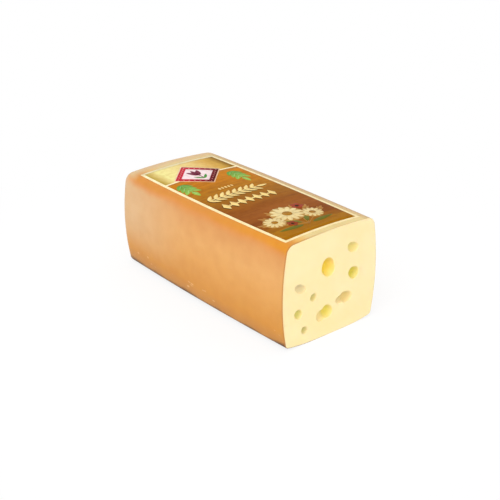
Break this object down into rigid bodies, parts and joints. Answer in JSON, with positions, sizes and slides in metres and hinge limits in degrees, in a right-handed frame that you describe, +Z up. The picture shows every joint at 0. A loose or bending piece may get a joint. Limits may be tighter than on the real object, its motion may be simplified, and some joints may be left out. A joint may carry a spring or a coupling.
{
  "type": "smoked cheese loaf",
  "caption": "Long brick of smoked cheese with swelling sides and rounded edges, cut square through at one end to show its gas eyes, with a printed label on its crown.",
  "frame": {"origin": "on the surface that the loaf stands on, under the middle of its length and width", "axes": "+X along the loaf, from its whole end to its cut face; +Y across it; +Z up, from its foot to its crown"},
  "size_m": [0.257, 0.119, 0.1022],
  "materials": {
    "rind": "satin",
    "paste": "satin",
    "label": "gloss"
  },
  "bodies": {
    "root": {"cheese": "rind", "label": "label"}
  },
  "joints": []
}
